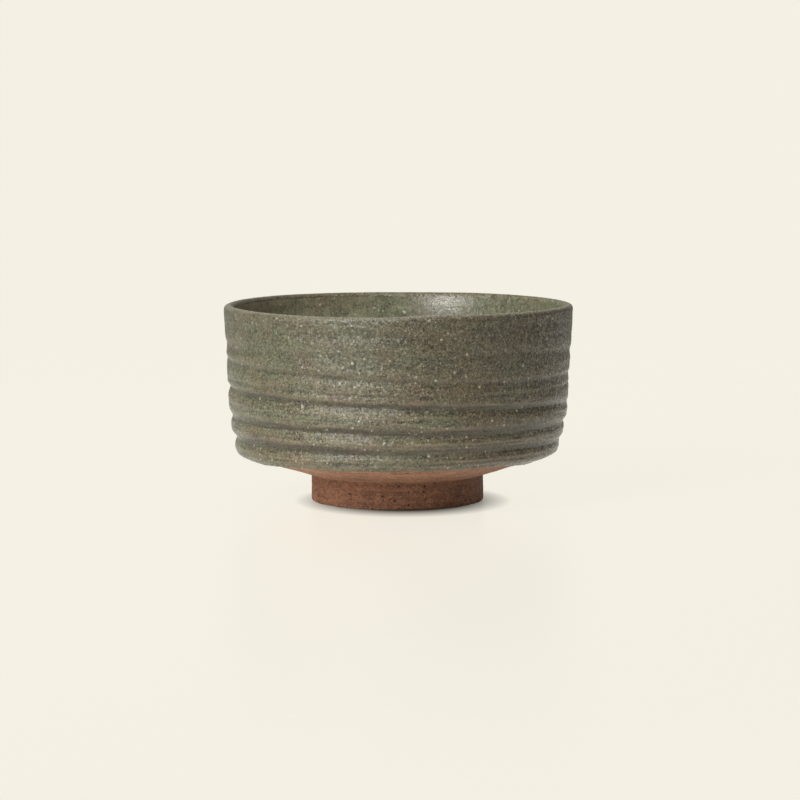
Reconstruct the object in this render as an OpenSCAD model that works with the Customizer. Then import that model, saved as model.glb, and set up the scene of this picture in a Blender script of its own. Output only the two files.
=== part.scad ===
// Tea bowl for whisked tea: a thrown stoneware body with throwing rings, an attached foot ring,
// a dipped glaze outside, a poured glaze inside and a thin band of glaze over the lip.
// The bowl stands on its foot ring at z = 0, with its axis on +Z.

/* [Bowl] */
// Widest diameter over the glaze, at the lip
bowl_d = 121; // [95:0.5:150]
// Height from the table to the top of the lip
bowl_h = 68.5; // [52:0.5:90]
// How far the wall leans outwards from its waist to the lip, on the radius
wall_lean = 5.9; // [3:0.1:8]
// Bend of the wall: a low value swells the wall early, above the waist
wall_bend = 0.4; // [0.3:0.05:1]
// Slope of the turned underside from level, in degrees
under_slope = 17.5; // [10:0.5:25]

/* [Walls] */
// Thickness of the glazed wall near its waist
wall_t = 5.4; // [4:0.1:8]
// Thickness of the glazed lip
lip_t = 3.6; // [2.4:0.1:5]
// Thickness of the glazed floor over the foot recess
floor_t = 6.4; // [4.5:0.1:9]
// Round between the inside wall and the floor
inside_round = 16; // [8:0.5:22]
// Depth of the shallow pool in the middle of the floor
pool_deep = 0.8; // [0.2:0.1:1.4]

/* [Throwing rings] */
// Height of the lowest groove above the waist
ring_first = 5; // [4:0.1:8]
// Distance from one groove to the next
ring_pitch = 8; // [6:0.1:14]
// Depth of the lowest groove in the glaze
ring_deep = 1.3; // [0.2:0.1:1.8]
// Half the width of a groove
ring_half_w = 2.7; // [1.5:0.1:3]
// Part of its depth that each groove keeps of the one below it
ring_fade = 0.72; // [0.3:0.01:1]

/* [Glaze] */
// Thickness of the fired glaze
glaze_t = 0.6; // [0.4:0.05:1]
// Extra thickness where the glaze pools in a groove
glaze_pool = 0.25; // [0:0.05:0.4]
// Depth of the lip band, measured down from the middle of the lip's round
lip_band = 2.2; // [1:0.1:4]

/* [Foot ring] */
// Outer diameter of the foot ring
foot_d = 59.5; // [45:0.5:75]
// Height of the foot ring at its outer edge
foot_h = 9.3; // [7:0.1:13]
// Width of the tread that the bowl stands on
tread_w = 6.2; // [4.5:0.1:8]
// How much the inner side of the ring leans in from the tread to the seat
foot_draft = 0.8; // [0:0.1:1.5]
// How far the floor of the body sits down into the ring
seat_deep = 1.2; // [0.6:0.1:2]
// Round on the two edges of the tread
tread_round = 0.9; // [0.3:0.1:1.5]
// Height of the small turned point in the middle of the recess
point_h = 1; // [0.4:0.1:1.6]
// Radius of that turned point
point_r = 7; // [4:0.5:10]

/* [Hidden] */

$fn = 180;
WALL_STEPS = 88;
CORNER_STEPS = 14;
LIP_STEPS = 16;
FLOOR_STEPS = 12;
TREAD_STEPS = 5;
// Steps crowd towards the waist, where the wall turns fastest
STEP_CROWD = 1.5;
// The glaze's lower edge hangs down and outwards at this angle, over this height
EDGE_HANG = 50;
EDGE_RUN = 4;

bowl_r = bowl_d / 2;
foot_r = foot_d / 2;
waist_r = bowl_r - wall_lean;
waist_z = foot_h + (waist_r - foot_r) * tan(under_slope);
lip_z = bowl_h - lip_t / 2;
lip_mid_r = bowl_r - lip_t / 2;
band_z = lip_z - lip_band;
foot_inner_r = foot_r - tread_w;
seat_inner_r = foot_inner_r - foot_draft;
recess_z = foot_h - seat_deep;
floor_z = recess_z + floor_t;
// The floor rises outside the foot as the underside does, and meets the round beside the wall
corner_z = floor_z + inside_round / cos(under_slope)
    + (waist_r - wall_t / 2 - inside_round - foot_r) * tan(under_slope);
ring_count = floor((band_z - ring_half_w - waist_z - ring_first) / ring_pitch) + 1;

// Points of an arc about [r, z], from angle a to angle b
function arc(r, z, radius, a, b, steps) =
    [for (i = [0 : steps])
        let (t = a + (b - a) * i / steps)
        [r + radius * cos(t), z + radius * sin(t)]];

// The list backwards
function back(points) = [for (i = [len(points) - 1 : -1 : 0]) points[i]];

// Share of the wall's height, from 0 at the waist to 1 at the lip
function rise(z) = max(0, min(1, (z - waist_z) / (lip_z - waist_z)));

// Radius of the glazed wall without its rings
function plain_r(z) = waist_r + wall_lean * pow(rise(z), wall_bend);

// One groove across height d from its middle, from 1 in the middle to 0 at its edges
function groove(d) = abs(d) < ring_half_w ? 0.5 + 0.5 * cos(180 * d / ring_half_w) : 0;

// All grooves at height z, each shallower than the one below it
function grooves(z) =
    ring_count < 1 ? 0 :
    max([for (i = [0 : ring_count - 1])
        pow(ring_fade, i) * groove(z - waist_z - ring_first - i * ring_pitch)]);

// Radius of the clay under the outer glaze
function clay_r(z) = plain_r(z) - glaze_t - ring_deep * grooves(z);

// Thickness of the outer glaze at height z
function coat_t(z) = glaze_t + glaze_pool * grooves(z);

// Direction in which the outer glaze stands off the clay: level, and hanging near its lower edge
function coat_angle(z) = -EDGE_HANG * max(0, 1 - (z - waist_z) / EDGE_RUN);

// Radius of the glazed wall inside
function inside_r(z) = plain_r(z) - lip_t - (wall_t - lip_t) * (1 - rise(z));

// Heights of the wall's points, from the waist to height top
function heights(top) =
    [for (i = [0 : WALL_STEPS]) waist_z + (top - waist_z) * pow(i / WALL_STEPS, STEP_CROWD)];

WALL_HEIGHTS = heights(band_z);

// Outline of the clay's outer wall, upwards
function outer_clay() = [for (z = WALL_HEIGHTS) [clay_r(z), z]];

// Outline of the glaze's outer face, upwards
function outer_skin() =
    [for (z = WALL_HEIGHTS)
        [clay_r(z) + coat_t(z) * cos(coat_angle(z)), z + coat_t(z) * sin(coat_angle(z))]];

// Outline of the inside, from the lip band down the wall, round the corner and in to the middle.
// out is 0 for the face of the glaze and the glaze's thickness for the clay under it.
function inside(out) =
    let (middle_r = inside_r(corner_z) - inside_round)
    let (flat_r = min(foot_r, middle_r))
    concat(
        [for (i = [0 : WALL_STEPS / 2 - 1])
            let (z = band_z + (corner_z - band_z) * i / (WALL_STEPS / 2))
            [inside_r(z) + out, z]],
        arc(middle_r, corner_z, inside_round + out, 0, under_slope - 90, CORNER_STEPS),
        [for (i = [0 : FLOOR_STEPS])
            let (r = flat_r * (1 - i / FLOOR_STEPS))
            [r, floor_z - out - pool_deep * (0.5 + 0.5 * cos(180 * r / flat_r))]]);

// Outline over the lip, from the outer face to the inner face, at depth out under the glaze
function over_lip(out) =
    concat(
        [[clay_r(band_z) + glaze_t - out, band_z]],
        arc(lip_mid_r, lip_z, lip_t / 2 - out, 0, 180, LIP_STEPS),
        [[inside_r(band_z) + out, band_z]]);

// Thrown and turned stoneware shell, bare clay on its underside
module clay_body() {
    color("#a5744f")
        rotate_extrude()
            polygon(concat(
                [[0, recess_z - point_h], [point_r, recess_z], [seat_inner_r, recess_z]],
                [[seat_inner_r, foot_h], [foot_r, foot_h]],
                outer_clay(),
                over_lip(glaze_t),
                inside(glaze_t)));
}

// Separately thrown foot ring, luted under the body
module foot_ring() {
    color("#6b4a3c")
        rotate_extrude()
            polygon(concat(
                [[seat_inner_r, foot_h]],
                arc(foot_inner_r + tread_round, tread_round, tread_round, 180, 270, TREAD_STEPS),
                arc(foot_r - tread_round, tread_round, tread_round, -90, 0, TREAD_STEPS),
                [[foot_r, foot_h]]));
}

// Dipped glaze on the outer wall, ending in a hanging edge at the waist
module outer_glaze() {
    color("#77745c")
        rotate_extrude()
            polygon(concat(outer_clay(), back(outer_skin())));
}

// Poured glaze over the inside wall and floor
module inner_glaze() {
    color("#6a6f58")
        rotate_extrude()
            polygon(concat(inside(0), back(inside(glaze_t))));
}

// Thin glaze over the lip, where the two coats meet
module lip_glaze() {
    color("#9a8f72")
        rotate_extrude()
            polygon(concat(over_lip(0), back(over_lip(glaze_t))));
}

clay_body();
foot_ring();
outer_glaze();
inner_glaze();
lip_glaze();
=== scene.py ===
"""A wheel-thrown stoneware bowl for whisked tea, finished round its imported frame.

The bowl is turned from one long outline, from the foot's seat up the outer wall, over the lip and down the
inside. Each piece takes its own stretch of that outline, so that clay and glaze meet exactly. Throwing
grooves, turning marks, pits and the glaze's hanging edge are real relief in the meshes; grain and specks are
in the finishes. Lengths are in metres, in the frame's own axes, with the bowl's front towards -Y. The
benches for finishes, the grooves' knots and the heights of relief count in millimetres.
"""

import logging
import math
from abc import ABC, abstractmethod
from dataclasses import dataclass
from enum import Enum

import bpy
import numpy as np
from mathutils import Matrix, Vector


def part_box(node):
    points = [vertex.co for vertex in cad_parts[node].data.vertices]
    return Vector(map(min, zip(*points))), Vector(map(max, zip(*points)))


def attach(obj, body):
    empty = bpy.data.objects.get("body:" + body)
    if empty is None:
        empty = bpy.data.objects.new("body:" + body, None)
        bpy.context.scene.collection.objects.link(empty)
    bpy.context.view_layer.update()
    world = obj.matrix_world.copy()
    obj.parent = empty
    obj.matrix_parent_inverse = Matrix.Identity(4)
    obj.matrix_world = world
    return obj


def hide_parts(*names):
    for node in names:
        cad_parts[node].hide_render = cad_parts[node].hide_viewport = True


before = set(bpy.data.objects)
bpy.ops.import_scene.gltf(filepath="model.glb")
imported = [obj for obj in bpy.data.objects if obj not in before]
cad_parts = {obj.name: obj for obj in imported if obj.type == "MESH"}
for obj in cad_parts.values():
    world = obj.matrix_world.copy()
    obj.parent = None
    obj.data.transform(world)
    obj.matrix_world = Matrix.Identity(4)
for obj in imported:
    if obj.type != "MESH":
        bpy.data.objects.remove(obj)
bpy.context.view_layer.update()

MM = 0.001
TURN = 2 * math.pi
FRONT = -math.pi / 2
LOG = logging.getLogger("tea_bowl")

Reach = tuple[float, float, float]


def mm(*parts: float) -> Reach:
    """The given millimetres along x, y and z, in metres. One number goes for all three."""
    return tuple(part * MM for part in (parts * 3 if len(parts) == 1 else parts))


class Slot(Enum):
    """The record's material slots."""

    BODY_CLAY = "body_clay"
    FOOT_CLAY = "foot_clay"
    OUTER_GLAZE = "outer_glaze"
    INNER_GLAZE = "inner_glaze"
    LIP_GLAZE = "lip_glaze"


class Section(Enum):
    """How the cross-section of a turned piece closes."""

    RING = "the last row joins the first"
    CAPPED = "both ends meet the axis"


# ---------------------------------------------------------------------------------------------- relief


class SolidNoise:
    """Smooth random values in space, the same on every run."""

    def __init__(self, seed: int) -> None:
        """Draws the lattice.

        Args:
            seed: Picks one noise out of many.
        """
        rng = np.random.default_rng(seed)
        self._order = rng.permutation(256)
        slopes = rng.normal(size=(256, 3))
        self._slopes = slopes / np.linalg.norm(slopes, axis=1, keepdims=True)

    def _corner(self, cell: np.ndarray) -> np.ndarray:
        """Picks the slope at each lattice corner.

        Args:
            cell: Whole-numbered places of the corners.

        Returns:
            A slope for each corner, with its x, y, z in the last axis.
        """
        order = self._order
        mixed = order[(order[(order[cell[..., 0] & 255] + cell[..., 1]) & 255] + cell[..., 2]) & 255]
        return self._slopes[mixed]

    def at(self, points: np.ndarray, size: Reach) -> np.ndarray:
        """Evaluates the noise.

        Args:
            points: Places, with x, y, z in the last axis.
            size: How far one hump reaches along each axis.

        Returns:
            One value for each place, mostly between -1 and 1.
        """
        scaled = points / np.array(size)
        cell = np.floor(scaled).astype(int)
        part = scaled - cell
        ease = part * part * part * (part * (part * 6 - 15) + 10)
        total = np.zeros(points.shape[:-1])
        for corner in np.ndindex(2, 2, 2):
            step = np.array(corner)
            share = np.prod(np.where(step == 1, ease, 1 - ease), axis=-1)
            total += share * np.sum(self._corner(cell + step) * (part - step), axis=-1)
        return total * 1.7

    def fractal(self, points: np.ndarray, size: Reach, octaves: int) -> np.ndarray:
        """Sums finer and finer copies of the noise.

        Args:
            points: Places, with x, y, z in the last axis.
            size: Reach of the coarsest hump along each axis.
            octaves: Number of copies, each half the size and a bit over half the height.

        Returns:
            One value for each place.
        """
        total = np.zeros(points.shape[:-1])
        for octave in range(octaves):
            finer = tuple(reach / 2**octave for reach in size)
            elsewhere = points + 7.3 * octave
            total += 0.55**octave * self.at(elsewhere, finer)
        return total


class Pebbles:
    """Round grains or pits strewn evenly through space."""

    def __init__(self, seed: int, cell: float, share: float) -> None:
        """Sets how the grains lie.

        Args:
            seed: Picks one scatter out of many.
            cell: Space for each grain, in metres.
            share: Part of the cells that hold a grain.
        """
        rng = np.random.default_rng(seed)
        self._order = rng.permutation(256)
        self._jitter = rng.uniform(0.15, 0.85, (256, 3))
        self._size = np.where(rng.uniform(size=256) < share, rng.uniform(0.35, 1.0, 256), 0.0)
        self._cell = cell

    def domes(self, points: np.ndarray, radius: float) -> np.ndarray:
        """Height of the grains over a surface.

        Args:
            points: Places on the surface.
            radius: Radius of the biggest grain.

        Returns:
            0 between the grains, up to 1 on the middle of the biggest.
        """
        order = self._order
        scaled = points / self._cell
        home = np.floor(scaled).astype(int)
        best = np.zeros(points.shape[:-1])
        for near in np.ndindex(3, 3, 3):
            cell = home + np.array(near) - 1
            pick = order[(order[(order[cell[..., 0] & 255] + cell[..., 1]) & 255] + cell[..., 2]) & 255]
            size = self._size[pick]
            gap = np.linalg.norm((cell + self._jitter[pick] - scaled) * self._cell, axis=-1)
            inside = np.clip(1 - (gap / np.maximum(size * radius, 1e-9)) ** 2, 0, 1)
            best = np.maximum(best, inside * inside * size)
        return best


@dataclass(frozen=True)
class ThrowingGroove:
    """One stretch of the groove that the potter's finger leaves as the wall is pulled up.

    Knots run along the groove as (turn in degrees, height in mm, depth in mm). 180 is the left side, 270 the
    front and 360 the right, and the groove sinks as it goes round. Above the crease the wall overhangs in a
    flat facet, whose height in mm is given for both ends of the groove. Below it a ledge, also in mm, rolls
    back out. A crispness of 1 gives a sharp crease and 0 a soft dent.
    """

    knots: tuple[tuple[float, float, float], ...]
    facet: tuple[float, float] = (0.7, 0.7)
    ledge: float = 2.4
    crisp: float = 1.0
    fade_degrees: float = 25.0
    ease_degrees: int = 30

    def depth(self, phi: np.ndarray, z: np.ndarray) -> np.ndarray:
        """Depth of the groove at each place.

        Args:
            phi: Direction of each place from the axis, in radians.
            z: Height of each place, in metres.

        Returns:
            Depth in metres, 0 away from the groove.
        """
        turns, heights, depths = np.array(self.knots).T
        fine = np.arange(turns[0], turns[-1] + 1.0, 1.0)
        path = self._eased(np.interp(fine, turns, heights))
        deep = self._eased(np.interp(fine, turns, depths))
        ends = np.minimum(fine - fine[0], fine[-1] - fine) / self.fade_degrees
        deep = deep * smooth(ends)
        total = np.zeros(np.broadcast(phi, z).shape)
        around = np.degrees(phi) % 360
        for lap in range(int(fine[-1] // 360) + 1):
            turn = around + 360 * lap
            there = (turn >= fine[0]) & (turn <= fine[-1])
            facet = np.interp(turn, (turns[0], turns[-1]), self.facet)
            shape = self._profile(z / MM - np.interp(turn, fine, path), facet)
            total = total + np.where(there, np.interp(turn, fine, deep) * shape, 0.0)
        return total * MM

    def _eased(self, values: np.ndarray) -> np.ndarray:
        """Rounds the corners of a line that has one value for each degree."""
        window = np.hanning(2 * self.ease_degrees + 1)
        return np.convolve(np.pad(values, self.ease_degrees, "edge"), window / window.sum(), "valid")

    def _profile(self, off: np.ndarray, facet: np.ndarray) -> np.ndarray:
        """Cross-section of the groove.

        Args:
            off: Height above the crease, in mm.
            facet: Height of the overhanging facet, in mm.

        Returns:
            Share of the groove's depth.
        """
        over = np.clip(1 - off / facet, 0, 1)
        under = np.clip(1 + off / self.ledge, 0, 1) ** 1.6
        cut = np.where(off > 0, over, under)
        dent = np.exp(-np.abs(off / np.where(off > 0, 0.9 * facet, 0.5 * self.ledge)) ** 1.8)
        return self.crisp * cut + (1 - self.crisp) * dent


def smooth(value: np.ndarray) -> np.ndarray:
    """Eases from 0 at 0 to 1 at 1."""
    held = np.clip(value, 0, 1)
    return held * held * (3 - 2 * held)


def blur_rows(values: np.ndarray, times: int) -> np.ndarray:
    """Smooths a polyline or a grid along its first axis, with its ends held.

    Args:
        values: What to smooth.
        times: Number of light passes.

    Returns:
        The smoothed copy.
    """
    out = values.copy()
    for _ in range(times):
        out[1:-1] = out[:-2] / 4 + out[1:-1] / 2 + out[2:] / 4
    return out


# ---------------------------------------------------------------------------------------------- outline


# Spacing of the points that the outline is worked out with
OUTLINE_STEP = 0.2 * MM
# Room for the lip's wave above the plain outline, and for lean and grain beside it, inside the frame's box
LIP_ROOM = 0.62 * MM
RIM_ROOM = 0.38 * MM


@dataclass(frozen=True)
class BowlSizes:
    """Sizes of the bowl in metres. Those without a value come from the frame."""

    rim_radius: float
    height: float
    band_height: float
    foot_radius: float
    foot_height: float
    point_height: float
    floor_bottom: float
    wall_lean: float = 5.9 * MM
    wall_bend: float = 0.4
    under_slope: float = math.radians(17.5)
    wall_thickness: float = 5.4 * MM
    lip_thickness: float = 3.6 * MM
    lip_rise: float = 1.25 * MM
    lip_inside: float = 1.6 * MM
    inside_round: float = 16 * MM
    pool_depth: float = 0.8 * MM
    glaze: float = 0.6 * MM
    tread_width: float = 6.2 * MM
    foot_draft: float = 0.8 * MM
    seat_depth: float = 1.2 * MM

    @classmethod
    def from_frame(cls) -> "BowlSizes":
        """Reads the driving sizes from the frame's nodes.

        Returns:
            The bowl's sizes.
        """
        lip_low, lip_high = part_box("lip_glaze")
        foot_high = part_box("foot_ring")[1]
        return cls(
            rim_radius=lip_high.y - RIM_ROOM,
            height=lip_high.z,
            band_height=lip_low.z,
            foot_radius=foot_high.y,
            foot_height=foot_high.z,
            point_height=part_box("clay_body")[0].z,
            floor_bottom=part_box("inner_glaze")[0].z,
        )

    @property
    def seat_radius(self) -> float:
        """Radius of the foot ring's inner side, where it meets the body."""
        return self.foot_radius - self.tread_width - self.foot_draft

    @property
    def waist_radius(self) -> float:
        """Radius over the glaze at the waist."""
        return self.rim_radius - self.wall_lean

    @property
    def waist_height(self) -> float:
        """Height at which the underside meets the wall."""
        return self.foot_height + (self.waist_radius - self.foot_radius) * math.tan(self.under_slope)

    @property
    def lip_height(self) -> float:
        """Height at which the lip starts to round over."""
        return self.height - self.lip_rise - LIP_ROOM

    def rise(self, z: np.ndarray) -> np.ndarray:
        """Share of the wall's height, from 0 at the waist to 1 at the lip."""
        return np.clip((z - self.waist_height) / (self.lip_height - self.waist_height), 0, 1)

    def plain(self, z: np.ndarray) -> np.ndarray:
        """Radius over the glaze without any grooves."""
        return self.waist_radius + self.wall_lean * self.rise(z) ** self.wall_bend

    def inside(self, z: np.ndarray) -> np.ndarray:
        """Radius over the inner glaze."""
        extra = (self.wall_thickness - self.lip_thickness) * (1 - self.rise(z))
        return self.plain(z) - self.lip_thickness - extra


class Outline:
    """The clay's outline as one smooth line of [radius, height], measured by distance along it."""

    def __init__(self, sizes: BowlSizes) -> None:
        """Draws the line.

        Args:
            sizes: The bowl's sizes.
        """
        self.sizes = sizes
        outside = blur_rows(self._even(self._outer_side()), 60)
        inside = blur_rows(self._even(self._inner_side()), 60)
        self._points = blur_rows(self._even(np.concatenate([outside, self._lip(), inside])), 4)
        steps = np.linalg.norm(np.diff(self._points, axis=0), axis=1)
        self._along = np.concatenate([[0], np.cumsum(steps)])
        tangent = np.gradient(self._points, self._along, axis=0)
        tangent /= np.linalg.norm(tangent, axis=1, keepdims=True)
        self._normals = np.stack([tangent[:, 1], -tangent[:, 0]], axis=1)
        self._normals[-1] = (0, 1)
        heights = self._points[:, 1]
        top = int(np.argmax(heights))
        self.end = float(self._along[-1])
        self.crest = float(self._along[top])
        self.band_out = float(np.interp(sizes.band_height, heights[:top], self._along[:top]))
        self.lip_end = self.crest + sizes.lip_inside

    def _outer_side(self) -> np.ndarray:
        """Draws the underside and the outer wall, upwards.

        Returns:
            Points of [radius, height].
        """
        sizes = self.sizes
        wall_z = np.linspace(0, 1, 400) ** 2 * (sizes.lip_height - sizes.waist_height) + sizes.waist_height
        wall = np.stack([sizes.plain(wall_z) - sizes.glaze, wall_z], axis=1)
        return np.concatenate([[(sizes.foot_radius, sizes.foot_height)], wall])

    def _lip(self) -> np.ndarray:
        """Draws the arch over the lip, inwards.

        Returns:
            Points of [radius, height].
        """
        sizes = self.sizes
        arch = np.radians(np.linspace(4, 176, 40))
        half = sizes.lip_thickness / 2
        radius = sizes.rim_radius - half + (half - sizes.glaze) * np.cos(arch)
        return np.stack([radius, sizes.lip_height + (sizes.lip_rise - sizes.glaze) * np.sin(arch)], axis=1)

    def _inner_side(self) -> np.ndarray:
        """Draws the inner wall, the round into the floor and the floor's pool, downwards and inwards.

        Returns:
            Points of [radius, height].
        """
        sizes, slope = self.sizes, self.sizes.under_slope
        floor = sizes.floor_bottom + sizes.pool_depth
        rough_middle = sizes.waist_radius - sizes.wall_thickness / 2 - sizes.inside_round
        corner_z = (
            floor + sizes.glaze + sizes.inside_round / math.cos(slope)
            + (rough_middle - sizes.foot_radius) * math.tan(slope)
        )
        wall_z = np.linspace(sizes.lip_height, corner_z, 150)
        wall = np.stack([sizes.inside(wall_z) + sizes.glaze, wall_z], axis=1)
        middle = float(sizes.inside(np.array(corner_z))) - sizes.inside_round
        turn = np.linspace(0, slope - math.pi / 2, 60)
        reach = sizes.inside_round + sizes.glaze
        corner = np.stack([middle + reach * np.cos(turn), corner_z + reach * np.sin(turn)], axis=1)
        flat = np.linspace(sizes.foot_radius, 0, 60)
        dish = sizes.pool_depth * (0.5 + 0.5 * np.cos(np.pi * flat / sizes.foot_radius))
        return np.concatenate([wall, corner[1:], np.stack([flat, floor - dish], axis=1)])

    @staticmethod
    def _even(points: np.ndarray) -> np.ndarray:
        """Spaces a line's points evenly.

        Args:
            points: Points of [radius, height].

        Returns:
            Points on the same line, one outline step apart.
        """
        along = np.concatenate([[0], np.cumsum(np.linalg.norm(np.diff(points, axis=0), axis=1))])
        wanted = np.linspace(0, along[-1], int(along[-1] / OUTLINE_STEP) + 1)
        return np.stack([np.interp(wanted, along, points[:, k]) for k in (0, 1)], axis=1)

    def at(self, along: np.ndarray) -> tuple[np.ndarray, np.ndarray, np.ndarray, np.ndarray]:
        """Radius, height and the outward direction's two parts, at distances from the foot's seat."""
        columns = (self._points[:, 0], self._points[:, 1], self._normals[:, 0], self._normals[:, 1])
        return tuple(np.interp(along, self._along, column) for column in columns)

    def at_radius(self, radius: np.ndarray) -> np.ndarray:
        """Finds places on the underside by their radius.

        Args:
            radius: Distances from the axis.

        Returns:
            Distances along the line.
        """
        under = self._points[:, 0] < self.sizes.waist_radius - 1.5 * MM
        count = int(np.argmin(under))
        return np.interp(radius, self._points[:count, 0], self._along[:count])


# The long groove that winds down the wall in four turns
WINDING = ThrowingGroove(
    knots=(
        (90, 55.0, 0.10), (180, 50.2, 0.55), (225, 48.4, 0.45), (270, 46.2, 0.34), (315, 45.0, 0.28),
        (360, 44.8, 0.30), (450, 43.0, 0.60), (540, 40.1, 1.25), (585, 38.7, 0.95), (630, 37.5, 1.00),
        (675, 36.0, 0.95), (720, 34.7, 0.30), (810, 32.6, 0.90), (900, 30.0, 1.20), (945, 29.3, 1.10),
        (990, 28.4, 1.30), (1035, 28.0, 1.15), (1080, 28.2, 0.90), (1170, 25.2, 1.10), (1260, 22.3, 1.40),
        (1350, 21.7, 1.45), (1395, 21.9, 1.20), (1440, 21.8, 0.90), (1530, 20.4, 0.70),
    ),
    facet=(0.9, 2.7),
    ledge=4.2,
    crisp=0.5,
)
# Shorter marks of a finger beside it, from the top down
FINGER_MARKS = (
    ThrowingGroove(
        ((185, 62.6, 0.05), (220, 61.8, 0.26), (260, 61.2, 0.20), (300, 60.8, 0.10)),
        facet=(1.8, 1.8), ledge=3.4, crisp=0.2,
    ),
    ThrowingGroove(
        ((100, 58.6, 0.1), (170, 54.4, 0.60), (215, 54.2, 0.48), (255, 53.6, 0.20), (290, 53.0, 0.05)),
        facet=(2.6, 2.6), ledge=4.6, crisp=0.2,
    ),
    ThrowingGroove(
        ((275, 54.6, 0.1), (305, 54.4, 0.16), (335, 53.2, 0.22), (350, 52.4, 0.40), (385, 51.6, 0.30),
         (440, 50.0, 0.1)),
        facet=(2.0, 2.0), ledge=3.6, crisp=0.3,
    ),
    ThrowingGroove(
        ((165, 43.4, 0.05), (200, 43.1, 0.25), (235, 42.2, 0.30), (270, 41.2, 0.14), (310, 41.2, 0.12),
         (345, 41.4, 0.16), (400, 41.0, 0.05)),
        ledge=1.4,
    ),
    ThrowingGroove(
        ((150, 35.4, 0.1), (230, 34.2, 0.14), (300, 33.2, 0.10), (340, 32.6, 0.05)),
        facet=(1.0, 1.0), ledge=2.6, crisp=0.4,
    ),
    ThrowingGroove(
        ((240, 24.9, 0.05), (275, 24.7, 0.16), (320, 24.8, 0.20), (360, 25.0, 0.14), (395, 25.4, 0.05)),
        facet=(0.4, 0.4), ledge=1.2,
    ),
    ThrowingGroove(
        ((200, 18.5, 0.1), (250, 18.7, 0.18), (300, 18.8, 0.16), (420, 18.6, 0.1)),
        facet=(0.5, 0.5), ledge=1.4,
    ),
)
# Radius in mm of the outer glaze's lower edge, by direction in degrees from the front
GLAZE_EDGE = (
    (-180, 49.5), (-130, 48.5), (-95, 49.0), (-65, 50.3), (-50, 52.2), (-33, 53.2), (0, 53.2),
    (20, 52.9), (40, 52.0), (52, 50.4), (66, 47.0), (100, 46.0), (140, 48.0), (180, 49.5),
)
# Middling radius of that edge, at which its wander and swell are read
EDGE_RADIUS = 50 * MM


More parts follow.
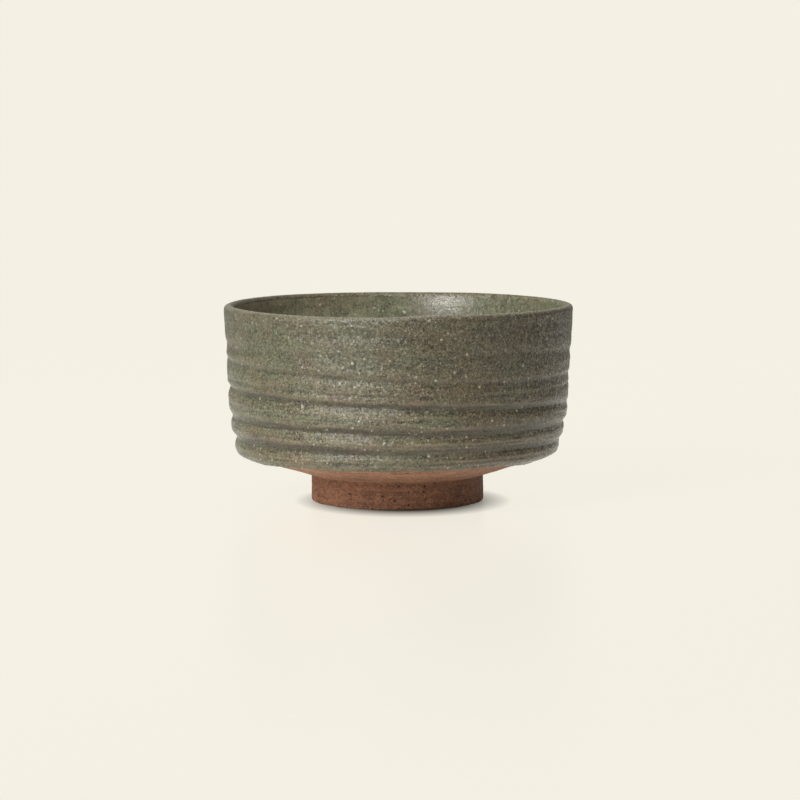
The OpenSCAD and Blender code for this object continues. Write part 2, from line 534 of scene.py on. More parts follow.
class HandWork:
    """What hand, wheel and kiln add to the plain outline."""

    def __init__(self, outline: Outline) -> None:
        """Draws the noises.

        Args:
            outline: The clay's outline.
        """
        self.outline = outline
        self.sizes = outline.sizes
        self._slow = SolidNoise(11)
        self._streaks = SolidNoise(23)
        self._fine = SolidNoise(37)
        self._grain = Pebbles(41, 3.4 * MM, 0.5)
        self._pits = Pebbles(59, 1.6 * MM, 0.42)

    def warp(self, points: np.ndarray, phi: np.ndarray) -> np.ndarray:
        """Gives the bowl its slight lean and the lip its wave.

        Args:
            points: Places on the true round bowl.
            phi: Their directions from the axis.

        Returns:
            The moved places.
        """
        up = points[..., 2] / self.sizes.height
        side = from_front(phi)
        step = 0.30 * np.tanh((side - 3) / 7) * np.exp(-((side / 58) ** 2))
        roll = 0.12 * np.cos(phi) + 0.05 * np.cos(2 * phi + 0.6) + 0.05 * np.cos(5 * phi + 1.0)
        lip = (step + roll) * smooth((up - 0.6) / 0.4)
        waist = smooth((radius_of(points) - 36 * MM) / (14 * MM)) * smooth((0.36 - up) / 0.14)
        tilt = np.cos(phi) * waist
        sag = np.where(tilt > 0, 0.34, 0.48) * tilt
        lean = (up - 0.35) * 0.62 + 0.25 * np.minimum(tilt, 0)
        moved = points.copy()
        moved[..., 2] += lip * MM + sag * MM
        moved[..., 0] += lean * MM
        return moved

    def glazed(self, phi: np.ndarray, along: np.ndarray, places: np.ndarray, hidden: bool) -> np.ndarray:
        """Relief of the glazed surface, outside and inside, in metres along the outward direction.

        Args:
            phi: Directions from the axis.
            along: Distances along the outline.
            places: The same places on the plain bowl.
            hidden: Whether this is the coat's back, whose rows are too far apart for a crease.

        Returns:
            How far each place stands out.
        """
        crest, end = self.outline.crest, self.outline.end
        height = places[..., 2]
        outside = smooth((crest - along) / (4 * MM))
        inside = smooth((along - crest) / (5 * MM)) * smooth((end - along) / (6 * MM))
        unrolled = unroll(phi, along)
        low = smooth((46 * MM - height) / (20 * MM))
        streaks = (0.07 + 0.11 * low) * self._streaks.at(places, mm(26, 26, 2.3))
        streaks += (0.03 + 0.05 * low) * self._streaks.at(places + 3, mm(17, 17, 0.95))
        belly = (0.58 + 0.22 * np.cos(phi)) * np.exp(-(((height / MM - 31) / 9) ** 2))
        runs = 0.030 * self._streaks.at(places, mm(2.6, 2.6, 15))
        rings = 0.16 * self._slow.at(unrolled, mm(40, 40, 8))
        rings += 0.06 * self._streaks.at(unrolled, mm(30, 30, 2.2))
        swell = 0.13 * self._slow.at(places, mm(34, 34, 15))
        peel = 0.045 * self._fine.fractal(places, mm(1.9), 2)
        grain = 0.15 * self._grain.domes(places, 0.85 * MM)
        cut = self.deepest(phi, height) if hidden else self.grooves(phi, height)
        worked = (streaks + belly) * outside + (runs + rings) * inside
        return (worked + swell + peel + grain) * MM - cut * outside

    def deepest(self, phi: np.ndarray, z: np.ndarray) -> np.ndarray:
        """Greatest depth of the grooves a little above and below each place."""
        steps = np.arange(-1.5, 2.0, 0.5) * MM
        return np.maximum.reduce([self.grooves(phi, z + step) for step in steps])

    @staticmethod
    def grooves(phi: np.ndarray, z: np.ndarray) -> np.ndarray:
        """Depth of the winding groove and the finger marks together."""
        return WINDING.depth(phi, z) + sum(mark.depth(phi, z) for mark in FINGER_MARKS)

    def turned_clay(self, phi: np.ndarray, along: np.ndarray, places: np.ndarray) -> np.ndarray:
        """Relief of bare clay that was cut with a turning tool.

        Args:
            phi: Directions from the axis.
            along: Distances along the cut face.
            places: The same places on the plain bowl.

        Returns:
            How far each place stands out, in metres.
        """
        unrolled = unroll(phi, along)
        rings = 0.055 * self._streaks.at(unrolled, mm(38, 38, 0.75))
        rings += 0.07 * self._streaks.at(unrolled + 5, mm(45, 45, 2.4))
        tooth = 0.028 * self._fine.fractal(places, mm(1.1), 2)
        return (rings + tooth - 0.20 * self.drags(phi, along)) * MM

    def coarse_clay(self, phi: np.ndarray, along: np.ndarray, places: np.ndarray) -> np.ndarray:
        """Relief of the foot's coarse clay.

        Args:
            phi: Directions from the axis.
            along: Distances along the ring's cross-section.
            places: The same places on the plain ring.

        Returns:
            How far each place stands out, in metres.
        """
        rings = 0.05 * self._streaks.at(unroll(phi, along), mm(24, 24, 0.9))
        slow = 0.12 * self._slow.at(places, mm(9, 9, 5))
        tooth = 0.055 * self._fine.fractal(places, mm(1.3, 1.3, 1.0), 3)
        return (rings + slow + tooth) * MM

    def slow_at(self, places: np.ndarray, size: float) -> np.ndarray:
        """Slow noise with humps of the given size in millimetres."""
        return self._slow.at(places, mm(size))

    def edge_line(self, phi: np.ndarray) -> np.ndarray:
        """Finds where the glaze ends.

        Args:
            phi: Directions from the axis.

        Returns:
            A distance along the outline for each direction.
        """
        knots = np.array(GLAZE_EDGE)
        radius = np.interp(from_front(phi), knots[:, 0], knots[:, 1])
        ring = stack_polar(EDGE_RADIUS, phi, 0 * phi)
        wander = 0.75 * self.slow_at(ring, 6) + 0.40 * self.slow_at(ring + 1, 2)
        return self.outline.at_radius((radius + wander) * MM)

    def edge_swell(self, phi: np.ndarray, along: np.ndarray) -> np.ndarray:
        """How the glaze's hanging edge swells and thins on its way round."""
        ring = stack_polar(EDGE_RADIUS, phi, 0 * along)
        return np.clip(self._slow.at(ring, mm(7)) + 0.8 * self._fine.at(ring, mm(2.4)), -1, 1.6)

    def drags(self, phi: np.ndarray, along: np.ndarray) -> np.ndarray:
        """Short marks where the turning tool dragged a grain, from 0 to 1."""
        return self._pits.domes(unroll(phi, along) * np.array((0.32, 0.32, 1.0)), 0.42 * MM)

    def pits(self, phi: np.ndarray, along: np.ndarray, reach: float) -> np.ndarray:
        """Pits, from 0 on sound clay to 1 in the middle of a pit, a little longer round than up."""
        return self._pits.domes(unroll(phi, along) * np.array((0.7, 0.7, 1.0)), reach)


def from_front(phi: np.ndarray) -> np.ndarray:
    """Directions in degrees from the front, from -180 to 180."""
    return np.degrees((phi - FRONT + math.pi) % TURN - math.pi)


def radius_of(points: np.ndarray) -> np.ndarray:
    """Distances from the axis."""
    return np.hypot(points[..., 0], points[..., 1])


def stack_polar(radius: np.ndarray, phi: np.ndarray, z: np.ndarray) -> np.ndarray:
    """Places from radius, direction and height."""
    return np.stack(np.broadcast_arrays(radius * np.cos(phi), radius * np.sin(phi), z), axis=-1)


def unroll(phi: np.ndarray, along: np.ndarray) -> np.ndarray:
    """Places on a plain cylinder, in which marks from the wheel run level on any turned face."""
    return stack_polar(45 * MM, phi, along)


# ---------------------------------------------------------------------------------------------- meshes

# Top of the rows in sight on the texture map, when hidden rows lie above them
SHOWN_TOP = 0.95
# Foot and height of the hidden rows' strip
HIDDEN_STRIP = (0.955, 0.04)
# Gap above and below each strip, as a share of its height, and the gap at the map's sides
STRIP_GAP = 0.01
SIDE_GAP = 0.003


@dataclass
class Turning:
    """A grid of rows round the axis, made into one closed mesh.

    Rows run along the cross-section and columns run round the axis. The rows that show lie in strips of the
    texture map, one strip above the other, and the hidden rows share a narrow strip at its top.
    """

    name: str
    places: np.ndarray
    section: Section
    marks: dict[str, np.ndarray]
    shown: tuple[int, int]
    strips: int
    sharp_rows: tuple[int, ...] = ()

    def build(self) -> bpy.types.Object:
        """Makes the mesh and its object.

        Returns:
            The new object, in the scene.
        """
        rows, columns = self.places.shape[:2]
        capped = self.section is Section.CAPPED
        index = np.arange(rows * columns).reshape(rows, columns)
        if capped:
            index[0] = 0
            index[1:-1] = 1 + np.arange((rows - 2) * columns).reshape(rows - 2, columns)
            index[-1] = 1 + (rows - 2) * columns
        beside = np.roll(index, -1, axis=1)
        corners = np.stack(
            [index, beside, np.roll(beside, -1, axis=0), np.roll(index, -1, axis=0)], axis=-1
        )
        kept = np.ones(corners.shape, bool)
        if capped:
            corners, kept = corners[:-1], kept[:-1]
            kept[0, :, 1] = False
            kept[-1, :, 3] = False
        mesh = bpy.data.meshes.new(self.name)
        points = self._welded(self.places)
        mesh.vertices.add(len(points))
        mesh.vertices.foreach_set("co", points.ravel())
        sides = kept.sum(axis=-1).ravel()
        mesh.loops.add(int(sides.sum()))
        mesh.loops.foreach_set("vertex_index", corners[kept])
        mesh.polygons.add(len(sides))
        mesh.polygons.foreach_set("loop_start", np.concatenate([[0], np.cumsum(sides)[:-1]]))
        mesh.update(calc_edges=True)
        mesh.polygons.foreach_set("use_smooth", np.ones(len(sides), bool))
        layer = mesh.uv_layers.new(name="OFBake")
        layer.data.foreach_set("uv", self._map(len(corners), columns)[kept].ravel())
        for mark, values in self.marks.items():
            vector = values.ndim == 3
            store = mesh.attributes.new(mark, "FLOAT_VECTOR" if vector else "FLOAT", "POINT")
            store.data.foreach_set("vector" if vector else "value", self._welded(values).ravel())
        self._sharpen(mesh, index)
        mesh.validate()
        piece = bpy.data.objects.new(self.name, mesh)
        bpy.context.collection.objects.link(piece)
        return piece

    def _welded(self, values: np.ndarray) -> np.ndarray:
        """Shrinks the rows that lie on the axis to a point each.

        Args:
            values: Values by row and column.

        Returns:
            One value for each vertex.
        """
        flat = values.astype(np.float32)
        width = values.shape[2:]
        if self.section is Section.RING:
            return flat.reshape(-1, *width)
        return np.concatenate([flat[0, :1], flat[1:-1].reshape(-1, *width), flat[-1, :1]])

    def _map(self, bands: int, columns: int) -> np.ndarray:
        """Lays out the texture map.

        Args:
            bands: Number of bands of faces along the cross-section.
            columns: Number of faces in a band.

        Returns:
            Coordinates for each band, column and corner.
        """
        first, last = self.shown
        samples = self.places[:, :: columns // 12]
        steps = np.linalg.norm(np.roll(samples, -1, axis=0) - samples, axis=-1).mean(axis=1)[:bands]
        shown = np.zeros(bands, bool)
        shown[first:last] = True
        hidden = bands - (last - first)
        height = (SHOWN_TOP if hidden else 1.0) / self.strips
        gap = STRIP_GAP * height
        low = np.zeros(bands)
        high = np.zeros(bands)
        for group, base, room in ((shown, 0.0, height - 2 * gap), (~shown, *HIDDEN_STRIP)):
            ends = np.cumsum(np.where(group, steps, 0)) / max(steps[group].sum(), 1e-9) * room + base
            high[group] = ends[group]
            low[group] = high[group] - steps[group] / max(steps[group].sum(), 1e-9) * room
        column = np.arange(columns)
        per_strip = columns // self.strips
        strip = column // per_strip
        across = np.stack([column - strip * per_strip, column - strip * per_strip + 1]) / per_strip
        whole_turn = np.stack([column, column + 1]) / columns
        across = SIDE_GAP + (1 - 2 * SIDE_GAP) * np.where(shown[:, None, None], across, whole_turn)
        lift = np.where(shown[:, None], strip * height + gap, 0.0)
        uv = np.zeros((bands, columns, 4, 2), np.float32)
        for corner, (side, end) in enumerate(((0, low), (1, low), (1, high), (0, high))):
            uv[:, :, corner, 0] = across[:, side]
            uv[:, :, corner, 1] = end[:, None] + lift
        return uv

    def _sharpen(self, mesh: bpy.types.Mesh, index: np.ndarray) -> None:
        """Marks the rows at which the surface turns a true corner.

        Args:
            mesh: The mesh.
            index: Its vertices, by row and column.
        """
        row_of = np.full(index.max() + 1, -1)
        for row in self.sharp_rows:
            row_of[index[row]] = row % len(index)
        ends = np.zeros(len(mesh.edges) * 2, np.int32)
        mesh.edges.foreach_get("vertices", ends)
        ends = row_of[ends.reshape(-1, 2)]
        layer = mesh.attributes.new("sharp_edge", "BOOLEAN", "EDGE")
        layer.data.foreach_set("value", (ends[:, 0] >= 0) & (ends[:, 0] == ends[:, 1]))


def round_the_axis(columns: int, rows: int) -> np.ndarray:
    """Directions of the grid's columns, the same in every row, starting at the back of the bowl."""
    return np.tile(np.arange(columns) / columns * TURN - FRONT, (rows, 1))


def stand_out(outline: Outline, phi: np.ndarray, along: np.ndarray, out: np.ndarray) -> np.ndarray:
    """Places beside the outline.

    Args:
        outline: The clay's outline.
        phi: Directions from the axis.
        along: Distances along the outline.
        out: How far each place stands out from it.

    Returns:
        x, y and z in the last axis.
    """
    radius, z, normal_r, normal_z = outline.at(along)
    reach = np.maximum(radius + normal_r * out, 0)
    return np.stack([reach * np.cos(phi), reach * np.sin(phi), z + normal_z * out], axis=-1)


def curl(relief: np.ndarray, along: np.ndarray) -> tuple[np.ndarray, np.ndarray, np.ndarray]:
    """How the relief turns and leans, along the rows.

    Args:
        relief: Relief in metres.
        along: Distances along the outline.

    Returns:
        Ridges, hollows and overhangs, each from 0 to 1.
    """
    step = np.gradient(along, axis=0)
    lean = blur_rows(np.gradient(relief, axis=0) / step, 2)
    bend = np.gradient(np.gradient(blur_rows(relief, 1), axis=0) / step, axis=0) / step * MM
    bend = blur_rows(bend, 1) / 0.85
    return np.clip(-bend, 0, 1), np.clip(bend, 0, 1), np.clip((lean - 0.08) / 0.40, 0, 1)


# ---------------------------------------------------------------------------------------------- pieces

# How far a coat of glaze reaches into the clay
CONTACT = 0.06 * MM
# Distance from the glaze's free edge over which its relief grows
EDGE_FADE = 1.4 * MM


@dataclass
class Skin:
    """One face of a coat: its places, its relief and its distances along the outline."""

    places: np.ndarray
    relief: np.ndarray
    along: np.ndarray


class Piece(ABC):
    """One piece of the bowl, which stands for a node of the frame."""

    piece: bpy.types.Object

    @abstractmethod
    def build(self) -> None:
        """Makes the piece."""

    def keep(self, turning: Turning, node: str, slot: Slot) -> None:
        """Makes the mesh and ties it to the frame.

        Args:
            turning: The mesh to make.
            node: The frame's node that the piece stands for.
            slot: The material slot that it takes its finish from; not used.
        """
        self.piece = turning.build()
        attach(self.piece, "root")
        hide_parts(node)

    def dress(self, material: bpy.types.Material) -> None:
        """Gives the piece its finish."""
        self.piece.data.materials.append(material)


@dataclass
class Coat(Piece):
    """One coat of glaze over a stretch of the clay's outline."""

    work: HandWork
    name: str
    node: str
    slot: Slot
    columns: int
    rows: int
    back_rows: int
    strips: int

    def skin(self, phi: np.ndarray, along: np.ndarray, depth: np.ndarray, share: np.ndarray,
             hidden: bool = False) -> Skin:
        """Works out the coat's face or back.

        Args:
            phi: Directions from the axis.
            along: Distances along the outline.
            depth: Thickness of the glaze at each place.
            share: Part of its relief that the surface has.
            hidden: Whether this is the coat's back.

        Returns:
            The surface.
        """
        outline = self.work.outline
        plain = stand_out(outline, phi, along, np.full(phi.shape, self.work.sizes.glaze))
        relief = self.work.glazed(phi, along, plain, hidden) * share
        places = self.work.warp(stand_out(outline, phi, along, depth + relief), phi)
        return Skin(places, relief, along)

    def back(self, start: float, end: float | np.ndarray, free_edge: np.ndarray | None = None) -> Skin:
        """Works out the hidden back of the coat, a little inside the clay.

        Args:
            start: Distance along the outline of its first row.
            end: Distance of its last row.
            free_edge: Distance of the coat's free edge, if it has one.

        Returns:
            The surface.
        """
        phi = round_the_axis(self.columns, self.back_rows)
        along = np.broadcast_to(start + np.linspace(0, 1, self.back_rows)[:, None] * (end - start), phi.shape)
        share = np.ones(phi.shape) if free_edge is None else smooth((along - free_edge) / EDGE_FADE)
        return self.skin(phi, along, np.full(phi.shape, -CONTACT), share, hidden=True)

    def even(self, start: float, end: float, section: Section) -> None:
        """Makes a coat of even thickness, without a free edge.

        Args:
            start: Distance along the outline at which it starts.
            end: Distance at which it ends.
            section: How the cross-section closes.
        """
        phi = round_the_axis(self.columns, self.rows)
        along = np.broadcast_to(np.linspace(start, end, self.rows)[:, None], phi.shape)
        face = self.skin(phi, along, np.full(phi.shape, self.work.sizes.glaze), np.ones(phi.shape))
        self.shell(face, self.back(end, start), np.zeros(phi.shape), section)

    def shell(self, face: Skin, back: Skin, edge: np.ndarray, section: Section) -> None:
        """Joins face and back to one closed shell, and makes its mesh.

        Args:
            face: The face's rows.
            back: The back's rows, in the direction that closes the shell.
            edge: Nearness of the coat's free edge, on the face.
            section: How the cross-section closes.
        """
        # The under mark is the overhanging facets under each ledge, which the glaze finish darkens as painted
        # shade.
        ridge, hollow, under = curl(face.relief, face.along)
        # The lip mark lies along the crest, just inside it; the glaze finish paints it pale, partly as thin
        # glaze and partly as a painted highlight along the rim.
        lip = np.exp(-(((face.along - self.work.outline.crest + 0.35 * MM) / (0.75 * MM)) ** 2))
        marks = {
            "ridge": ridge, "hollow": hollow, "under": under, "lip": lip, "edge": edge,
            "inward": self.inward(face.along),
        }
        blank = np.zeros(back.relief.shape)
        rows, backs = len(face.places), len(back.places)
        face_first = section is Section.RING

        def join(front: np.ndarray, behind: np.ndarray) -> np.ndarray:
            """Puts the rows of face and back in the order that closes the shell."""
            return np.concatenate([front, behind] if face_first else [behind, front])

        turning = Turning(
            self.name,
            join(face.places, back.places),
            section,
            {mark: join(values, blank) for mark, values in marks.items()},
            (0, rows - 1) if face_first else (backs, backs + rows - 1),
            self.strips,
            (0, rows - 1, rows, -1) if face_first else (backs - 1, backs),
        )
        self.keep(turning, self.node, self.slot)

    def inward(self, along: np.ndarray) -> np.ndarray:
        """Share of the inner coat's colour that the outer finish takes, from 0 to 1."""
        return 0 * along


@dataclass
class OuterCoat(Coat):
    """The dipped glaze outside, from its hanging edge under the waist to the lip band."""

    bead: float = 0.42 * MM
    bead_at: float = 1.1 * MM
    edge_round: float = 1.1 * MM
    edge_zone: float = 2.6 * MM
    edge_rows: int = 15

    def build(self) -> None:
        """Makes the coat, with a thick bead along its free edge."""
        top = self.work.outline.band_out
        phi = round_the_axis(self.columns, self.rows)
        edge_at = self.work.edge_line(phi[0])
        near = np.linspace(0, 1, self.edge_rows + 1)[:-1, None] ** 1.3 * self.edge_zone
        share = np.linspace(0, 1, self.rows - self.edge_rows)[:, None]
        share = share * (0.62 + 0.38 * share)
        start = edge_at + self.edge_zone
        along = np.concatenate([edge_at + near, start + share * (top - start)])
        off = along - edge_at
        swell = 0.5 + 0.5 * self.work.edge_swell(phi, along)
        bead = self.bead * swell * np.exp(-(((off - self.bead_at) / (1.0 * MM)) ** 2))
        turned = np.clip(1 - off / self.edge_round, 0, 1)
        depth = (self.work.sizes.glaze + bead) * np.sqrt(1 - turned * turned) - CONTACT * turned
        face = self.skin(phi, along, depth, smooth(off / EDGE_FADE))
        back = self.back(top, edge_at + 0.3 * MM, edge_at)
        self.shell(face, back, np.exp(-off / (1.3 * MM)), Section.RING)


@dataclass
class LipCoat(Coat):
    """The thin glaze over the lip."""

    def build(self) -> None:
        """Makes the coat."""
        self.even(self.work.outline.band_out, self.work.outline.lip_end, Section.RING)

    def inward(self, along: np.ndarray) -> np.ndarray:
        """The lip changes from the outer coat's colour to the inner coat's over its crest."""
        return smooth((along - self.work.outline.crest + 0.3 * MM) / (1.3 * MM))


@dataclass
class InnerCoat(Coat):
    """The poured glaze inside, from the lip band to the middle of the floor."""

    def build(self) -> None:
        """Makes the coat."""
        self.even(self.work.outline.lip_end, self.work.outline.end, Section.CAPPED)


@dataclass
class ClayBody(Piece):
    """The thrown shell: bare and turned underneath, and hidden under the glaze elsewhere."""

    work: HandWork
    name: str = "stoneware_body"
    columns: int = 540
    recess_rows: int = 34
    seat_rows: int = 4
    under_rows: int = 74
    core_rows: int = 70
    point_radius: float = 7 * MM
    core_inset: float = 0.16 * MM

    def build(self) -> None:
        """Makes the shell out of recess, underside and hidden core."""
        recess, recess_along = self.recess()
        under, under_along = self.underside()
        core, core_along = self.core(float(under_along[-1, 0]) + 0.8 * MM)
        places = np.concatenate([recess, under, core])
        # The offsets keep the turning marks of the three stretches apart
        lengths = np.concatenate([recess_along, 0.1 + under_along, 0.2 + core_along])
        phi = round_the_axis(self.columns, len(places))
        plain_recess, plain_core = np.zeros(recess_along.shape), np.zeros(core_along.shape)
        drags = [
            self.work.drags(phi[:len(recess)], recess_along), self.work.drags(phi[:len(under)], under_along),
            plain_core,
        ]
        stain = [plain_recess, self.stain(phi[:len(under)], under_along), plain_core]
        turning = Turning(
            self.name, places, Section.CAPPED,
            {"turned": unroll(phi, lengths), "pit": np.concatenate(drags), "stain": np.concatenate(stain)},
            (0, len(recess) + len(under) - 1), 4,
            (self.recess_rows - 1, self.recess_rows, len(recess)),
        )
        self.keep(turning, "clay_body", Slot.BODY_CLAY)

    def recess(self) -> tuple[np.ndarray, np.ndarray]:
        """Works out the recess inside the foot ring, with its turned point, and the seat of the ring.

        Returns:
            Places, and their distances from the axis.
        """
        sizes = self.work.sizes
        seat = sizes.foot_height
        top = seat - sizes.seat_depth
        recess_r = np.linspace(0, sizes.seat_radius - 0.1 * MM, self.recess_rows)
        point = (top - sizes.point_height) * smooth(1 - recess_r / self.point_radius)
        turn_in = 0.5 * MM * smooth((recess_r - sizes.seat_radius + 1.2 * MM) / (1.2 * MM))
        seat_r = np.linspace(sizes.seat_radius, sizes.foot_radius - 0.3 * MM, self.seat_rows)
        phi = round_the_axis(self.columns, self.recess_rows + self.seat_rows)
        radius = np.broadcast_to(np.concatenate([recess_r, seat_r])[:, None], phi.shape)
        z = np.concatenate([top - point + turn_in, np.full(self.seat_rows, seat + 0.02 * MM)])[:, None]
        cut = self.work.turned_clay(phi, radius + 20 * MM, stack_polar(radius, phi, z))
        shown = smooth(radius / (1 * MM)) * (radius < sizes.seat_radius - 0.6 * MM)
        return stack_polar(radius, phi, z - cut * shown), radius

    def underside(self) -> tuple[np.ndarray, np.ndarray]:
        """Works out the turned underside, up to where the glaze covers it.

        Returns:
            Places, and their distances along the outline.
        """
        outline = self.work.outline
        end = outline.at_radius(np.array(self.work.sizes.waist_radius - 1.6 * MM))
        phi = round_the_axis(self.columns, self.under_rows)
        along = np.broadcast_to(np.linspace(0, end, self.under_rows)[:, None], phi.shape)
        plain = stand_out(outline, phi, along, np.zeros(phi.shape))
        relief = self.work.turned_clay(phi, along, plain) * smooth(along / (0.6 * MM))
        return self.work.warp(stand_out(outline, phi, along, relief), phi), along

    def core(self, start: float) -> tuple[np.ndarray, np.ndarray]:
        """Works out the clay under the glaze, sunk so that it never shows.

        Args:
            start: Distance along the outline at which it starts.

        Returns:
            Places, and their distances along the outline.
        """
        outline = self.work.outline
        phi = round_the_axis(self.columns, self.core_rows)
        along = np.broadcast_to(np.linspace(start, outline.end, self.core_rows)[:, None], phi.shape)
        plain = stand_out(outline, phi, along, np.full(phi.shape, self.work.sizes.glaze))
        outside = smooth((outline.crest - along) / (4 * MM))
        sunk = -self.core_inset - self.work.deepest(phi, plain[..., 2]) * outside
        return self.work.warp(stand_out(outline, phi, along, sunk), phi), along

    def stain(self, phi: np.ndarray, along: np.ndarray) -> np.ndarray:
        """Nearness to the glaze's edge, from 0 to 1."""
        return np.exp(-np.maximum(self.work.edge_line(phi[0]) - along, 0) / (1.7 * MM))


@dataclass
class FootRing(Piece):
    """The ring of coarse clay that the bowl stands on."""

    work: HandWork
    name: str = "coarse_foot_ring"
    columns: int = 700
    side_rows: int = 36
    tread_rows: int = 26
    seat_rows: int = 3
    tread_round: float = 0.8 * MM
    pit_depth: float = 0.42 * MM
    pit_reach: float = 0.62 * MM
    chip_depth: float = 0.55 * MM

    def build(self) -> None:
        """Makes the ring."""
        line, distance = self.outline()
        rows = len(line)
        tangent = np.gradient(line, axis=0)
        tangent /= np.linalg.norm(tangent, axis=1, keepdims=True)
        phi = round_the_axis(self.columns, rows)
        along = np.broadcast_to(distance[:, None], phi.shape)
        radius, z = line[:, :1], line[:, 1:]
        pits = self.work.pits(phi, along, self.pit_reach)
        relief = self.relief(phi, along, stack_polar(radius, phi, z), pits)
        places = stack_polar(radius + tangent[:, 1:] * relief, phi, z - tangent[:, :1] * relief)
        places[..., 2] = np.maximum(places[..., 2], 0)
        low = places[..., 2].min()
        places[..., 2] -= low * smooth(1 - places[..., 2] / (2 * MM))

        seat_r = np.linspace(line[-1, 0] - 0.2 * MM, line[0, 0] + 0.2 * MM, self.seat_rows)[:, None]
        seat_phi = round_the_axis(self.columns, self.seat_rows)
        seat = stack_polar(seat_r, seat_phi, np.full(seat_r.shape, self.work.sizes.foot_height))
        blank = np.zeros(seat_phi.shape)
        all_phi = round_the_axis(self.columns, rows + self.seat_rows)
        turning = Turning(
            self.name, np.concatenate([places, seat]), Section.RING,
            {"turned": unroll(all_phi, np.concatenate([along, blank])), "pit": np.concatenate([pits, blank]),
             "stain": np.zeros(all_phi.shape)},
            (0, rows - 1), 5, (0, rows - 1),
        )
        self.keep(turning, "foot_ring", Slot.FOOT_CLAY)

    def relief(self, phi: np.ndarray, along: np.ndarray, plain: np.ndarray, pits: np.ndarray) -> np.ndarray:
        """Relief of the ring: coarse clay, pits, and chips on the outer edge of the tread.

        Args:
            phi: Directions from the axis.
            along: Distances along the cross-section.
            plain: Places on the plain ring.
            pits: Pits, from 0 to 1.

        Returns:
            How far each place stands out, in metres.
        """
        end = along[-1, 0]
        clay = self.work.coarse_clay(phi, along, plain) - self.pit_depth * smooth(pits * 2.2)
        corner = end - self.work.sizes.foot_height + 0.3 * MM
        near = np.exp(-(((along - corner) / (0.9 * MM)) ** 2))
        chips = self.chip_depth * near * smooth(self.work.slow_at(plain, 4.2) * 1.6 - 0.25)
        held = smooth(np.minimum(along, end - along) / (0.5 * MM))
        return (clay - chips) * held - 0.05 * MM

    def outline(self) -> tuple[np.ndarray, np.ndarray]:
        """The ring's cross-section, down the inner side, across the tread and up the outer side.

        Returns:
            Evenly spaced points of [radius, height], and their distances along the line.
        """
        sizes, turn = self.work.sizes, self.tread_round
        inner = sizes.foot_radius - sizes.tread_width + turn
        outer = sizes.foot_radius - turn
        quarter = np.linspace(0, math.pi / 2, 8)
        inner_turn = np.stack([inner - turn * np.cos(quarter), turn - turn * np.sin(quarter)], axis=1)
        outer_turn = np.stack([outer + turn * np.sin(quarter), turn - turn * np.cos(quarter)], axis=1)
        top = sizes.foot_height
        start, end = (sizes.seat_radius, top), (sizes.foot_radius, top)
        line = np.concatenate([[start], inner_turn, outer_turn, [end]])
        lengths = np.concatenate([[0], np.cumsum(np.linalg.norm(np.diff(line, axis=0), axis=1))])
        distance = np.linspace(0, lengths[-1], 2 * self.side_rows + self.tread_rows)
        return np.stack([np.interp(distance, lengths, line[:, k]) for k in (0, 1)], axis=1), distance


# ---------------------------------------------------------------------------------------------- finishes

Colour = tuple[float, float, float]
Socket = bpy.types.NodeSocket
PER_MM = (1 / MM, 1 / MM, 1 / MM)


